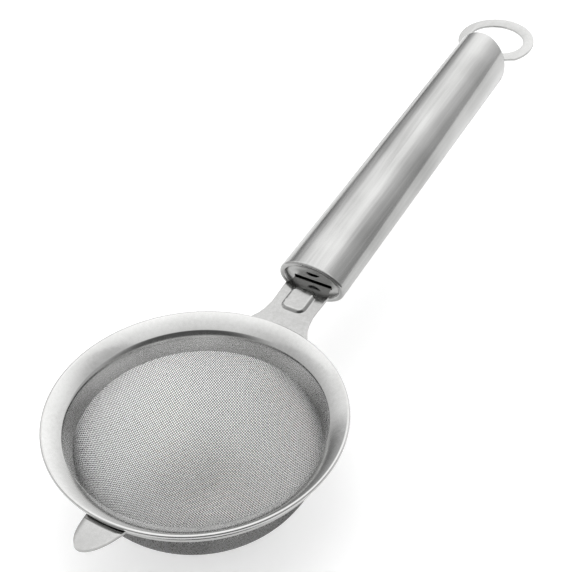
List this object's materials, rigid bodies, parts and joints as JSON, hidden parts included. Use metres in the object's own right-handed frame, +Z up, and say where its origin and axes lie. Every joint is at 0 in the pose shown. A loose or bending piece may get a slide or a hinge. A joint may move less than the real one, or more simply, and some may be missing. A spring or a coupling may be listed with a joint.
{
  "type": "tea strainer",
  "caption": "Long-handled stainless steel tea strainer: fine woven bowl under a dished rim, rest tab, flat neck with a pressed rib, hollow handle and flat hanging loop.",
  "frame": {"origin": "centre of the bowl's flat foot, the lowest point under the rim's axis", "axes": "+Z up out of the bowl's mouth, +X from the bowl towards the handle and its hanging loop"},
  "size_m": [0.2529, 0.081, 0.0533],
  "materials": {
    "rim_steel": "mirror-polished stainless steel",
    "woven_wire": "bright drawn stainless wire, plain weave",
    "frame_steel": "polished stainless steel sheet",
    "handle_steel": "satin, brushed along its length",
    "cap_steel": "plain pressed stainless steel",
    "loop_steel": "semi-bright stainless steel sheet"
  },
  "bodies": {
    "root": {"rim_ring": "rim_steel", "mesh_bowl": "woven_wire", "frame_plate": "frame_steel", "handle_tube": "handle_steel", "front_cap": "cap_steel", "rear_cap": "cap_steel", "hanging_loop": "loop_steel"}
  },
  "joints": []
}
